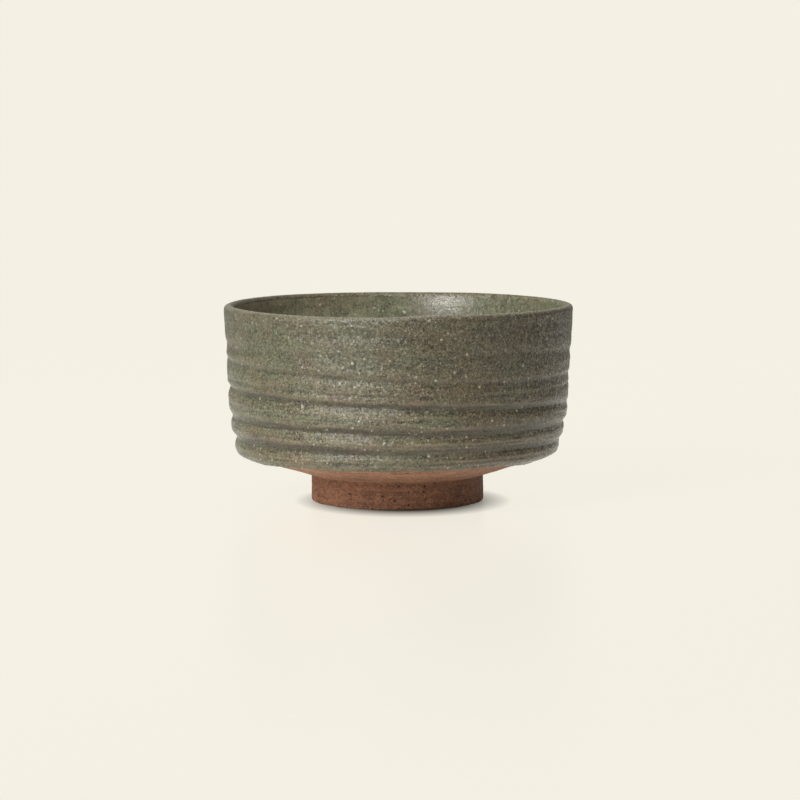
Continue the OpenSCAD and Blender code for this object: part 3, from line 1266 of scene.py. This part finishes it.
class Bench:
    """A workbench for one finish: it makes nodes and joins them, with lengths in millimetres."""

    def __init__(self, name: str) -> None:
        """Clears a new material.

        Args:
            name: The finish's name.
        """
        self.material = bpy.data.materials.new(name)
        self.material.use_nodes = True
        self.tree = self.material.node_tree
        self.tree.nodes.clear()
        self.shader = self.node("ShaderNodeBsdfPrincipled")
        self.surface = self.node("ShaderNodeOutputMaterial").inputs["Surface"]
        self.put(self.surface, self.shader.outputs["BSDF"])
        self.place = self.stretch(self.node("ShaderNodeTexCoord").outputs["Object"], PER_MM)
        parts = self.node("ShaderNodeSeparateXYZ")
        self.put(parts.inputs[0], self.place)
        self.x, self.z = parts.outputs[0], parts.outputs[2]

    def node(self, kind: str, **settings: object) -> bpy.types.Node:
        """Adds a node.

        Args:
            kind: The node's type.
            **settings: Choices that the node is set to.

        Returns:
            The node.
        """
        made = self.tree.nodes.new(kind)
        for key, value in settings.items():
            setattr(made, key, value)
        return made

    def put(self, socket: Socket, value: Socket | float | Colour) -> None:
        """Links a socket or sets its value.

        Args:
            socket: The socket to feed.
            value: Another socket, a number or a colour.
        """
        if isinstance(value, bpy.types.NodeSocket):
            self.tree.links.new(value, socket)
        elif isinstance(value, tuple) and len(socket.default_value) == 4:
            socket.default_value = (*value, 1.0)
        else:
            socket.default_value = value

    def mark(self, name: str) -> Socket:
        """Reads a mark that the mesh carries."""
        return self.node("ShaderNodeAttribute", attribute_name=name).outputs["Fac"]

    def mark_place(self, name: str) -> Socket:
        """Reads a place that the mesh carries, in millimetres."""
        return self.stretch(self.node("ShaderNodeAttribute", attribute_name=name).outputs["Vector"], PER_MM)

    def stretch(self, vector: Socket, by: tuple[float, float, float]) -> Socket:
        """Multiplies a vector, part by part.

        Args:
            vector: The vector.
            by: What x, y and z are multiplied by.

        Returns:
            The new vector.
        """
        made = self.node("ShaderNodeVectorMath", operation="MULTIPLY")
        self.put(made.inputs[0], vector)
        made.inputs[1].default_value = by
        return made.outputs[0]

    def noise(self, size: float, detail: float = 2.0, rough: float = 0.5, where: Socket | None = None,
              ratio: tuple[float, float, float] = (1, 1, 1)) -> Socket:
        """Soft random values.

        Args:
            size: Reach of one hump, in millimetres.
            detail: Number of finer layers.
            rough: Strength of the finer layers.
            where: Places to read at, the object's own if left out.
            ratio: How much longer a hump is along each axis.

        Returns:
            Values round 0.5.
        """
        made = self.node("ShaderNodeTexNoise")
        by = tuple(1 / (size * part) for part in ratio)
        self.put(made.inputs["Vector"], self.stretch(where or self.place, by))
        made.inputs["Scale"].default_value = 1.0
        made.inputs["Detail"].default_value = detail
        made.inputs["Roughness"].default_value = rough
        return made.outputs["Fac"]

    def pebbles(self, cell: float, where: Socket | None = None,
                ratio: tuple[float, float, float] = (1, 1, 1)) -> bpy.types.Node:
        """Splits space into cells, each with a middle and a random colour of its own.

        Args:
            cell: Size of a cell, in millimetres.
            where: Places to read at, the object's own if left out.
            ratio: How much longer a cell is along each axis.

        Returns:
            The node, for its distances and its colours.
        """
        made = self.node("ShaderNodeTexVoronoi")
        by = tuple(1 / (cell * part) for part in ratio)
        self.put(made.inputs["Vector"], self.stretch(where or self.place, by))
        made.inputs["Scale"].default_value = 1.0
        return made

    def split(self, colour: Socket) -> list[Socket]:
        """Splits a colour.

        Args:
            colour: The colour.

        Returns:
            Its three values.
        """
        parts = self.node("ShaderNodeSeparateColor")
        self.put(parts.inputs[0], colour)
        return list(parts.outputs)

    def specks(self, cell: float, radius: float, share: float, where: Socket | None = None,
               ratio: tuple[float, float, float] = (1, 1, 1)) -> Socket:
        """Separate round specks of many sizes.

        Args:
            cell: Space for each speck, in millimetres.
            radius: Radius of the biggest, in millimetres.
            share: Part of the cells that hold one.
            where: Places to read at, the object's own if left out.
            ratio: How much longer a speck is along each axis.

        Returns:
            1 on the specks and 0 between them.
        """
        cells = self.pebbles(cell, where, ratio)
        biggest = radius / cell
        size = self.reach(self.split(cells.outputs["Color"])[0], 1 - share, 1.0, 0.0, biggest)
        room = self.math("SUBTRACT", size, cells.outputs["Distance"])
        return self.reach(room, 0.0, 0.4 * biggest)

    def crystals(self, size: float) -> Socket:
        """Small crystals side by side, each with its own value from 0 to 1."""
        return self.split(self.pebbles(size).outputs["Color"])[1]

    def facets(self, size: float, tilt: float) -> Socket:
        """The surface's direction, tilted another way on every crystal.

        Args:
            size: Size of a crystal, in millimetres.
            tilt: Greatest tilt, as a slope.

        Returns:
            The directions.
        """
        middle = self.node("ShaderNodeVectorMath", operation="SUBTRACT")
        self.put(middle.inputs[0], self.pebbles(size).outputs["Color"])
        self.put(middle.inputs[1], (0.5, 0.5, 0.5))
        tilted = self.node("ShaderNodeVectorMath", operation="MULTIPLY_ADD")
        self.put(tilted.inputs[0], middle.outputs[0])
        self.put(tilted.inputs[1], (2 * tilt, 2 * tilt, 2 * tilt))
        self.put(tilted.inputs[2], self.node("ShaderNodeNewGeometry").outputs["Normal"])
        evened = self.node("ShaderNodeVectorMath", operation="NORMALIZE")
        self.put(evened.inputs[0], tilted.outputs[0])
        return evened.outputs[0]

    def math(self, kind: str, first: Socket | float, second: Socket | float) -> Socket:
        """Works out one value from two.

        Args:
            kind: What is done with them.
            first: The first value.
            second: The second value.

        Returns:
            The result.
        """
        made = self.node("ShaderNodeMath", operation=kind)
        self.put(made.inputs[0], first)
        self.put(made.inputs[1], second)
        return made.outputs[0]

    def reach(self, value: Socket, low: float, high: float, to_low: float = 0.0,
              to_high: float = 1.0) -> Socket:
        """Moves a range of values to another, held at its ends.

        Args:
            value: What to move.
            low: Value that becomes to_low.
            high: Value that becomes to_high.
            to_low: New value at the low end.
            to_high: New value at the high end.

        Returns:
            The moved value.
        """
        made = self.node("ShaderNodeMapRange")
        for key, number in (("From Min", low), ("From Max", high), ("To Min", to_low), ("To Max", to_high)):
            made.inputs[key].default_value = number
        self.put(made.inputs["Value"], value)
        return made.outputs["Result"]

    def mix(self, share: Socket | float, first: Socket | Colour, second: Socket | Colour) -> Socket:
        """Mixes two colours.

        Args:
            share: Part of the second colour, from 0 to 1.
            first: The first colour.
            second: The second colour.

        Returns:
            The mixed colour.
        """
        made = self.node("ShaderNodeMix", data_type="RGBA")
        self.put(made.inputs[0], share)
        self.put(made.inputs[6], first)
        self.put(made.inputs[7], second)
        return made.outputs[2]

    def tint(self, colour: Socket, where: Socket, strength: Socket | float, to: Colour) -> Socket:
        """Tints a colour in the places where the second value is 1, with the strength of the third."""
        return self.mix(self.math("MULTIPLY", where, strength), colour, to)

    def shade(self, colour: Socket, value: Socket) -> Socket:
        """Multiplies a colour by a value.

        Args:
            colour: The colour.
            value: The value.

        Returns:
            The new colour.
        """
        made = self.node("ShaderNodeVectorMath", operation="SCALE")
        self.put(made.inputs[0], colour)
        self.put(made.inputs["Scale"], value)
        return made.outputs[0]

    def add(self, *parts: tuple[Socket, float]) -> Socket:
        """Sums values, each times its weight.

        Args:
            *parts: The values with their weights.

        Returns:
            The sum.
        """
        total: Socket | float = 0.0
        for socket, weight in parts:
            made = self.node("ShaderNodeMath", operation="MULTIPLY_ADD")
            self.put(made.inputs[0], socket)
            made.inputs[1].default_value = weight
            self.put(made.inputs[2], total)
            total = made.outputs[0]
        return total

    def finish(self, colour: Socket, roughness: Socket, height: Socket, glassy: float,
               facets: Socket | None = None) -> bpy.types.Material:
        """Joins the surface together.

        Args:
            colour: Base colour.
            roughness: Roughness.
            height: Fine relief, in millimetres.
            glassy: Specular level.
            facets: Directions that the fine relief is laid on, the surface's own if left out.

        Returns:
            The material.
        """
        self.put(self.shader.inputs["Base Color"], colour)
        self.put(self.shader.inputs["Roughness"], roughness)
        self.shader.inputs["IOR"].default_value = 1.55
        self.shader.inputs["Specular IOR Level"].default_value = glassy
        bump = self.node("ShaderNodeBump")
        bump.inputs["Strength"].default_value = 1.0
        bump.inputs["Distance"].default_value = MM
        self.put(bump.inputs["Height"], height)
        if facets is not None:
            self.put(bump.inputs["Normal"], facets)
        self.put(self.shader.inputs["Normal"], bump.outputs["Normal"])
        return self.material


@dataclass(frozen=True)
class GlazeGrain:
    """The random values that a glaze's colour, gloss and relief share."""

    clouds: Socket
    mottle: Socket
    fine: Socket
    crystals: Socket
    streaks: Socket


@dataclass(frozen=True)
class AshGlaze:
    """A satin wood-ash glaze: green where it lies thick, brown on the fire side, tan where it breaks.

    The mesh carries marks that say where the glaze breaks over a ridge, pools in a hollow, lies under a
    ledge, thins on the lip, ends at its free edge, or takes the inner coat's colour. The darkening under a
    ledge is painted shade, the darkening in a hollow is partly pooled glaze and partly painted shade, and the
    pale line on the lip is partly thin glaze and partly a painted highlight.
    """

    name: str
    green: Colour
    brown: Colour
    pale: Colour
    dark: Colour
    tan: Colour
    cream: Colour
    under_ledge_shade: Colour
    fire_side: float
    side_shade: tuple[float, float, float, float]
    streaks: float
    runs: float
    scale: float
    contrast: tuple[float, float]
    grain: float
    grain_size: float
    gloss: float
    sparkle: float
    facet: float
    relief: float
    bumps: float
    glassy: float

    def material(self) -> bpy.types.Material:
        """Makes the finish.

        Returns:
            The material.
        """
        bench = Bench(self.name)
        noise = self.noises(bench)
        grain = self.grains(bench)
        pins = bench.specks(2.3, 0.30, 0.3)
        colour = self.mottled(bench, self.ground(bench), noise)
        colour = self.broken_and_shaded(bench, colour, noise)
        colour = bench.tint(colour, grain, self.grain, self.cream)
        colour = bench.tint(colour, pins, 0.6, self.dark)
        rough = bench.add((noise.fine, 0.5), (noise.mottle, 0.2), (noise.crystals, 0.3))
        rough = bench.reach(rough, 0.3, 0.7, self.gloss - self.sparkle, self.gloss + 0.16)
        height = bench.add(
            (noise.fine, 0.15 * self.relief), (noise.mottle, 0.13 * self.relief),
            (noise.crystals, 0.012 * self.relief), (noise.streaks, 0.16), (grain, self.bumps), (pins, -0.05),
        )
        return bench.finish(colour, rough, height, self.glassy, bench.facets(0.66 * self.scale, self.facet))

    def noises(self, bench: Bench) -> GlazeGrain:
        """Makes the shared random values, with level streaks that fade towards the lip.

        Args:
            bench: The bench to work on.

        Returns:
            The random values.
        """
        streaks = bench.math("SUBTRACT", bench.noise(0.85, 2, 0.6, ratio=(15, 15, 1)), 0.5)
        return GlazeGrain(
            clouds=bench.noise(4.2 * self.scale, 3, 0.6),
            mottle=bench.noise(1.35 * self.scale, 3, 0.65),
            fine=bench.noise(0.42 * self.scale, 2, 0.7),
            crystals=bench.crystals(0.36),
            streaks=bench.math("MULTIPLY", streaks, bench.reach(bench.z, 52, 36, 0.15, 1.0)),
        )

    def grains(self, bench: Bench) -> Socket:
        """Makes cream grains in two sizes.

        Args:
            bench: The bench to work on.

        Returns:
            Above 0 on the grains and 0 between them.
        """
        big = bench.specks(1.9 * self.grain_size, 0.54 * self.grain_size, 0.62)
        small = bench.specks(1.15 * self.grain_size, 0.30 * self.grain_size, 0.5)
        return bench.math("MAXIMUM", bench.math("MULTIPLY", big, 0.85), bench.math("MULTIPLY", small, 0.6))

    def ground(self, bench: Bench) -> Socket:
        """Patches of green and brown, browner on the fire side and darker towards the lip, with painted light
        and shade from side to side.

        Args:
            bench: The bench to work on.

        Returns:
            The colour.
        """
        inward = bench.mark("inward")
        patches = bench.noise(17, 2, 0.5, ratio=(1, 1, 0.6))
        blots = bench.noise(5.0, 2, 0.5, ratio=(1.5, 1.5, 1))
        across = bench.math("MULTIPLY", bench.x, bench.reach(inward, 0, 1, 1.0, -0.8))
        leaning = bench.add((patches, 0.75), (blots, 0.5), (across, -self.fire_side))
        colour = bench.mix(bench.reach(leaning, 0.44, 0.80), self.brown, self.green)
        colour = bench.shade(colour, bench.reach(bench.z, 36, 60, 1.02, 0.88))
        # Painted light and shade from side to side: the outside is darkened towards the right, away from the
        # key lamp; on the lip's inner face the sides swap.
        colour = bench.shade(colour, bench.reach(across, *self.side_shade))
        return bench.shade(colour, bench.reach(inward, 0, 1, 1.0, 1.75))

    def mottled(self, bench: Bench, colour: Socket, noise: GlazeGrain) -> Socket:
        """Adds clouds, mottling, streaks, runs and pale flecks.

        Args:
            bench: The bench to work on.
            colour: The colour to work over.
            noise: The glaze's random values.

        Returns:
            The colour.
        """
        runs = bench.noise(1.5, 3, 0.6, ratio=(1, 1, 5))
        layers = (
            (noise.clouds, 0.8), (noise.mottle, 1.2), (noise.fine, 1.5), (noise.crystals, 0.55),
            (runs, self.runs),
        )
        middle = sum(weight for _, weight in layers) / 2
        value = bench.add(*layers, (noise.streaks, self.streaks))
        colour = bench.shade(colour, bench.reach(value, middle - 0.50, middle + 0.54, *self.contrast))
        flecks = bench.reach(bench.noise(0.8 * self.scale, 2, 0.6), 0.55, 0.65)
        return bench.tint(colour, flecks, 0.55, self.pale)

    def broken_and_shaded(self, bench: Bench, colour: Socket, noise: GlazeGrain) -> Socket:
        """Changes the colour on ridges, under ledges, in hollows, on the lip and at the free edge; under
        ledges it paints shade, in hollows it partly paints shade, and on the lip it partly paints a
        highlight.

        Args:
            bench: The bench to work on.
            colour: The colour to work over.
            noise: The glaze's random values.

        Returns:
            The colour.
        """
        wear = bench.reach(bench.noise(2.4, 3, 0.65, ratio=(3, 3, 1)), 0.40, 0.60, 0.25, 0.85)
        colour = bench.tint(colour, bench.mark("ridge"), wear, self.tan)
        # Painted shade: the overhanging facets under the ledges are darkened as if shadowed from above.
        colour = bench.tint(colour, bench.mark("under"), 0.55, self.under_ledge_shade)
        # Darker in the hollows: partly glaze pooled in the creases, partly painted shade in them.
        colour = bench.tint(colour, bench.mark("hollow"), 0.6, self.dark)
        # Pale along the lip's crest: partly thin glaze, partly a painted highlight line on the rim.
        thin_glaze_and_highlight = bench.reach(noise.crystals, 0.1, 0.9, 0.30, 0.95)
        colour = bench.tint(colour, bench.mark("lip"), thin_glaze_and_highlight, self.cream)
        return bench.tint(colour, bench.mark("edge"), 0.4, self.dark)


@dataclass(frozen=True)
class BareClay:
    """Fired stoneware without glaze: turning rings, grog, pits, and a stain along the glaze's edge."""

    name: str
    warm: Colour
    deep: Colour
    grit: Colour
    pit: Colour
    stain: Colour
    grog: float
    tooth: float
    fire_side_and_shade: float

    def material(self) -> bpy.types.Material:
        """Makes the finish.

        Returns:
            The material.
        """
        bench = Bench(self.name)
        turned = bench.mark_place("turned")
        rings = bench.noise(0.8, 3, 0.6, turned, (40, 40, 1))
        fine = bench.noise(0.42, 3, 0.7)
        mottle = bench.noise(1.7, 3, 0.6)
        grit = bench.specks(1.35, 0.36, self.grog)
        nicks = bench.specks(1.8, 0.56, self.grog, turned, (1.9, 1.9, 1))
        pits = bench.math("MAXIMUM", bench.reach(bench.mark("pit"), 0.10, 0.35), nicks)

        tone = bench.add((bench.noise(11, 3, 0.55), 0.6), (rings, 0.75), (fine, 0.6))
        colour = bench.mix(bench.reach(tone, 0.74, 1.20), self.deep, self.warm)
        # Lighter on the left and darker on the right: partly the fire side, partly painted shade on the side
        # away from the key lamp.
        colour = bench.shade(colour, bench.reach(bench.x, -32, 32, 1 + self.fire_side_and_shade, 1 - self.fire_side_and_shade))
        tooth = bench.add((mottle, 1.0), (fine, 1.0), (bench.crystals(0.38), 0.4))
        colour = bench.shade(colour, bench.reach(tooth, 0.85, 1.55, 0.50, 1.52))
        stained = bench.reach(mottle, 0.42, 0.60, 0.0, 0.65)
        colour = bench.tint(colour, bench.mark("stain"), stained, self.stain)
        colour = bench.tint(colour, grit, 0.7, self.grit)
        # The pits, drags and nicks are darkened: painted shade in the recesses.
        colour = bench.tint(colour, pits, 0.85, self.pit)
        rough = bench.reach(fine, 0.3, 0.7, 0.68, 0.90)
        height = bench.add(
            (fine, self.tooth), (mottle, self.tooth), (rings, 0.16), (grit, 0.07), (nicks, -0.18)
        )
        return bench.finish(colour, rough, height, 0.4)


OUTER_FINISH = AshGlaze(
    name="ash_glaze_outside",
    green=(0.083, 0.089, 0.050), brown=(0.099, 0.076, 0.043), pale=(0.280, 0.250, 0.170),
    dark=(0.034, 0.028, 0.019), tan=(0.290, 0.215, 0.140), cream=(0.460, 0.430, 0.330),
    under_ledge_shade=(0.058, 0.044, 0.033), fire_side=0.0024, side_shade=(-55, 60, 1.08, 0.564), streaks=1.6, runs=0.0,
    scale=1.0, contrast=(0.24, 2.34), grain=0.90, grain_size=1.10, gloss=0.24, sparkle=0.17, facet=0.20,
    relief=1.0, bumps=0.05, glassy=0.70,
)
# The inner finish's side shade is painted light: the inside is lightened towards the left, whose wall faces
# the dimmer right-hand sky.
INNER_FINISH = AshGlaze(
    name="ash_glaze_inside",
    green=(0.172, 0.186, 0.110), brown=(0.163, 0.138, 0.090), pale=(0.330, 0.320, 0.230),
    dark=(0.055, 0.050, 0.034), tan=(0.260, 0.205, 0.140), cream=(0.560, 0.540, 0.440),
    under_ledge_shade=(0.120, 0.105, 0.072), fire_side=-0.0016, side_shade=(-55, 4, 1.80, 0.96), streaks=0.3, runs=0.9,
    scale=1.7, contrast=(0.45, 1.7), grain=1.0, grain_size=1.45, gloss=0.27, sparkle=0.02, facet=0.010,
    relief=0.45, bumps=0.15, glassy=1.0,
)
BODY_FINISH = BareClay(
    name="turned_stoneware",
    warm=(0.450, 0.240, 0.146), deep=(0.240, 0.113, 0.067), grit=(0.540, 0.400, 0.280),
    pit=(0.080, 0.038, 0.024), stain=(0.135, 0.098, 0.058), grog=0.24, tooth=0.14, fire_side_and_shade=0.14,
)
FOOT_FINISH = BareClay(
    name="coarse_stoneware",
    warm=(0.280, 0.129, 0.072), deep=(0.145, 0.065, 0.037), grit=(0.420, 0.285, 0.190),
    pit=(0.034, 0.018, 0.012), stain=(0.100, 0.065, 0.040), grog=0.36, tooth=0.24, fire_side_and_shade=0.36,
)


# ---------------------------------------------------------------------------------------------- studio


@dataclass(frozen=True)
class Lamp:
    """A soft rectangular lamp, placed round the bowl.

    Azimuth and elevation are in degrees. Azimuth counts from the front, positive to the left.
    """

    name: str
    azimuth: float
    elevation: float
    distance: float
    width: float
    height: float
    power: float
    colour: Colour = (1.0, 1.0, 1.0)

    def light(self, target: Vector) -> None:
        """Hangs the lamp and turns it to the target.

        Args:
            target: Place that the lamp points at.
        """
        turn, lift = math.radians(self.azimuth), math.radians(self.elevation)
        offset = Vector((-math.sin(turn) * math.cos(lift), -math.cos(turn) * math.cos(lift), math.sin(lift)))
        data = bpy.data.lights.new(self.name, "AREA")
        data.shape = "RECTANGLE"
        data.size, data.size_y = self.width, self.height
        data.energy = self.power
        data.color = self.colour
        lamp = bpy.data.objects.new(self.name, data)
        lamp.location = target + offset * self.distance
        lamp.rotation_euler = (-offset).to_track_quat("-Z", "Y").to_euler()
        bpy.context.collection.objects.link(lamp)


@dataclass(frozen=True)
class Studio:
    """A pale table with soft light, and a long lens a little above the bowl.

    The table glows, except in an oval beside the foot, where its dimmer glow is a painted contact shadow:
    contact is its middle and contact_reach its half width and depth in mm, and contact_edge the share of them
    over which the glow comes up. The sky's two strengths are for light from the left and from the right.
    """

    paper: Colour = (0.905, 0.871, 0.776)
    eye_distance: float = 1.1
    eye_height: float = 0.148
    aim_x: float = 0.0009
    aim_height: float = 0.0345
    lens: float = 144.0
    sky: tuple[float, float] = (0.38, 0.21)
    table_radius: float = 0.62
    table_drop: float = 0.02 * MM
    table_fade: tuple[float, float] = (0.20, 0.58)
    albedo: float = 0.06
    contact: tuple[float, float] = (2.0, -2.5)
    contact_reach: tuple[float, float] = (38.0, 44.5)
    contact_edge: tuple[float, float] = (0.60, 0.99)
    contact_shadow_glow: float = 0.03
    glow: float = 0.885
    lamps: tuple[Lamp, ...] = (
        Lamp("key_box", 37, 26, 1.25, 0.38, 0.76, 12.5, (1.0, 0.975, 0.935)),
        Lamp("top_box", 0, 82, 1.2, 0.9, 0.9, 2.6),
    )

    def build(self) -> None:
        """Sets table, sky, lamps and camera."""
        self.lay_table()
        self.hang_sky()
        aim = Vector((self.aim_x, 0, self.aim_height))
        for lamp in self.lamps:
            lamp.light(aim)
        self.set_camera(aim)
        bpy.context.scene.view_settings.view_transform = "Standard"
        bpy.context.scene.view_settings.look = "None"

    def set_camera(self, aim: Vector) -> None:
        """Sets the camera in front of the bowl.

        Args:
            aim: Place that it looks at.
        """
        data = bpy.data.cameras.new("camera")
        data.lens = self.lens
        data.sensor_width = 36.0
        data.clip_start = 0.05
        camera = bpy.data.objects.new("camera", data)
        camera.location = (self.aim_x, -self.eye_distance, self.eye_height)
        camera.rotation_euler = (aim - camera.location).to_track_quat("-Z", "Y").to_euler()
        bpy.context.collection.objects.link(camera)
        bpy.context.scene.camera = camera

    def lay_table(self) -> None:
        """Lays a round pale table that melts into the backdrop at its edge."""
        rings, columns = 24, 96
        radius = np.linspace(0, self.table_radius, rings)[:, None]
        phi = np.arange(columns) / columns * TURN
        places = stack_polar(radius, phi[None, :], np.full((rings, 1), -self.table_drop))
        index = np.arange(rings * columns).reshape(rings, columns)
        beside = np.roll(index, -1, axis=1)
        faces = np.stack([index[:-1], beside[:-1], beside[1:], index[1:]], axis=-1).reshape(-1, 4)
        mesh = bpy.data.meshes.new("table")
        mesh.from_pydata(places.reshape(-1, 3).tolist(), [], faces[:, ::-1].tolist())
        mesh.update()
        table = bpy.data.objects.new("table", mesh)
        bpy.context.collection.objects.link(table)
        mesh.materials.append(self.paper_finish())

    def paper_finish(self) -> bpy.types.Material:
        """A pale table top that glows, with a painted contact shadow close to the foot, and fades out towards
        its edge.

        Returns:
            The material.
        """
        bench = Bench("pale_table")
        shader = bench.shader.inputs
        bench.put(shader["Base Color"], tuple(part * self.albedo for part in self.paper))
        shader["Roughness"].default_value = 0.30
        shader["Specular IOR Level"].default_value = 0.14
        shader["Emission Color"].default_value = (*self.paper, 1)
        beside = bench.node("ShaderNodeVectorMath", operation="SUBTRACT")
        bench.put(beside.inputs[0], bench.place)
        bench.put(beside.inputs[1], (*self.contact, 0.0))
        width, depth = self.contact_reach
        near = bench.node("ShaderNodeVectorMath", operation="LENGTH")
        bench.put(near.inputs[0], bench.stretch(beside.outputs[0], (1 / width, 1 / depth, 1.0)))
        # Painted contact shadow: the glow drops in the oval beside the foot.
        dark = self.contact_shadow_glow * self.glow
        glow = bench.reach(near.outputs["Value"], *self.contact_edge, dark, self.glow)
        bench.put(shader["Emission Strength"], glow)
        away = bench.node("ShaderNodeVectorMath", operation="LENGTH")
        bench.put(away.inputs[0], bench.place)
        fade = bench.node("ShaderNodeMapRange", interpolation_type="SMOOTHERSTEP")
        for key, distance in zip(("From Min", "From Max"), self.table_fade):
            fade.inputs[key].default_value = distance / MM
        bench.put(fade.inputs["Value"], away.outputs["Value"])
        mixed = bench.node("ShaderNodeMixShader")
        bench.put(mixed.inputs[0], fade.outputs["Result"])
        bench.put(mixed.inputs[1], bench.shader.outputs["BSDF"])
        bench.put(mixed.inputs[2], bench.node("ShaderNodeBsdfTransparent").outputs["BSDF"])
        bench.put(bench.surface, mixed.outputs["Shader"])
        return bench.material

    def hang_sky(self) -> None:
        """Hangs an even backdrop. It gives less light than it shows, and least from the right."""
        world = bpy.data.worlds.new("backdrop")
        bpy.context.scene.world = world
        world.use_nodes = True
        tree = world.node_tree
        tree.nodes.clear()
        seen = tree.nodes.new("ShaderNodeBackground")
        seen.inputs["Color"].default_value = (*self.paper, 1)
        lights = tree.nodes.new("ShaderNodeBackground")
        lights.inputs["Color"].default_value = (*self.paper, 1)
        parts = tree.nodes.new("ShaderNodeSeparateXYZ")
        tree.links.new(tree.nodes.new("ShaderNodeTexCoord").outputs["Generated"], parts.inputs[0])
        dimmer = tree.nodes.new("ShaderNodeMapRange")
        left, right = self.sky
        for key, number in (("From Min", -0.2), ("From Max", 0.9), ("To Min", left), ("To Max", right)):
            dimmer.inputs[key].default_value = number
        tree.links.new(parts.outputs["X"], dimmer.inputs["Value"])
        tree.links.new(dimmer.outputs["Result"], lights.inputs["Strength"])
        path = tree.nodes.new("ShaderNodeLightPath")
        mixed = tree.nodes.new("ShaderNodeMixShader")
        tree.links.new(path.outputs["Is Camera Ray"], mixed.inputs[0])
        tree.links.new(lights.outputs[0], mixed.inputs[1])
        tree.links.new(seen.outputs[0], mixed.inputs[2])
        tree.links.new(mixed.outputs[0], tree.nodes.new("ShaderNodeOutputWorld").inputs["Surface"])


# ---------------------------------------------------------------------------------------------- main


def report_piece(piece: bpy.types.Object) -> None:
    """Logs a piece's name and face count."""
    LOG.info("%s: %d faces", piece.name, len(piece.data.polygons))


def main() -> None:
    """Builds, dresses and reports the bowl."""
    logging.basicConfig(level=logging.INFO, format="%(name)s: %(message)s")
    Studio().build()
    work = HandWork(Outline(BowlSizes.from_frame()))
    outside = OUTER_FINISH.material()
    inside = INNER_FINISH.material()
    pieces = (
        (ClayBody(work), BODY_FINISH.material()),
        (FootRing(work), FOOT_FINISH.material()),
        (OuterCoat(work, "dipped_outer_glaze", "outer_glaze", Slot.OUTER_GLAZE, 540, 150, 34, 3), outside),
        (LipCoat(work, "thin_lip_glaze", "lip_glaze", Slot.LIP_GLAZE, 540, 34, 12, 9), outside),
        (InnerCoat(work, "poured_inner_glaze", "inner_glaze", Slot.INNER_GLAZE, 540, 132, 46, 3), inside),
    )
    for part, material in pieces:
        part.build()
        part.dress(material)
        report_piece(part.piece)


if __name__ == "__main__":
    main()
